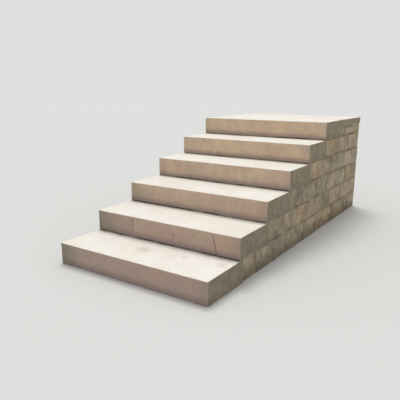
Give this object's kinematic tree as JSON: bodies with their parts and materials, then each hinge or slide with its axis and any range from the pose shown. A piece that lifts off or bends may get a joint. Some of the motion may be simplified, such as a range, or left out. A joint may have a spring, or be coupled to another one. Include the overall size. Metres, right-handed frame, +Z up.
{
  "type": "outdoor stone steps",
  "caption": "Straight flight of solid stone block steps with mortar bed joints, rising to a paved landing on a squared stone masonry base.",
  "frame": {"origin": "middle of the base, at ground level", "axes": "+X along the treads, to the right of someone facing the flight from below; +Y the way the flight climbs; +Z up"},
  "size_m": [1.29, 3.056, 0.99],
  "materials": {
    "step_stone": "pale warm beige stone, sawn and lightly textured",
    "wall_stone": "squared stone with split faces",
    "mortar": "raked lime mortar, darkened by dirt",
    "rubble": "packed broken stone"
  },
  "bodies": {
    "root": {"back_wall_course_1": "wall_stone", "back_wall_course_2": "wall_stone", "back_wall_course_3": "wall_stone", "back_wall_course_4": "wall_stone", "back_wall_course_5": "wall_stone", "back_wall_course_6": "wall_stone", "landing_bedding": "mortar", "landing_slab_1": "step_stone", "landing_slab_2": "step_stone", "left_wall_course_1": "wall_stone", "left_wall_course_2": "wall_stone", "left_wall_course_3": "wall_stone", "left_wall_course_4": "wall_stone", "left_wall_course_5": "wall_stone", "left_wall_course_6": "wall_stone", "mortar_bed_2": "mortar", "mortar_bed_3": "mortar", "mortar_bed_4": "mortar", "mortar_bed_5": "mortar", "mortar_bed_6": "mortar", "right_wall_course_1": "wall_stone", "right_wall_course_2": "wall_stone", "right_wall_course_3": "wall_stone", "right_wall_course_4": "wall_stone", "right_wall_course_5": "wall_stone", "right_wall_course_6": "wall_stone", "rubble_core": "rubble", "step_block_1": "step_stone", "step_block_2": "step_stone", "step_block_3": "step_stone", "step_block_4": "step_stone", "step_block_5": "step_stone", "step_block_6": "step_stone"}
  },
  "joints": []
}
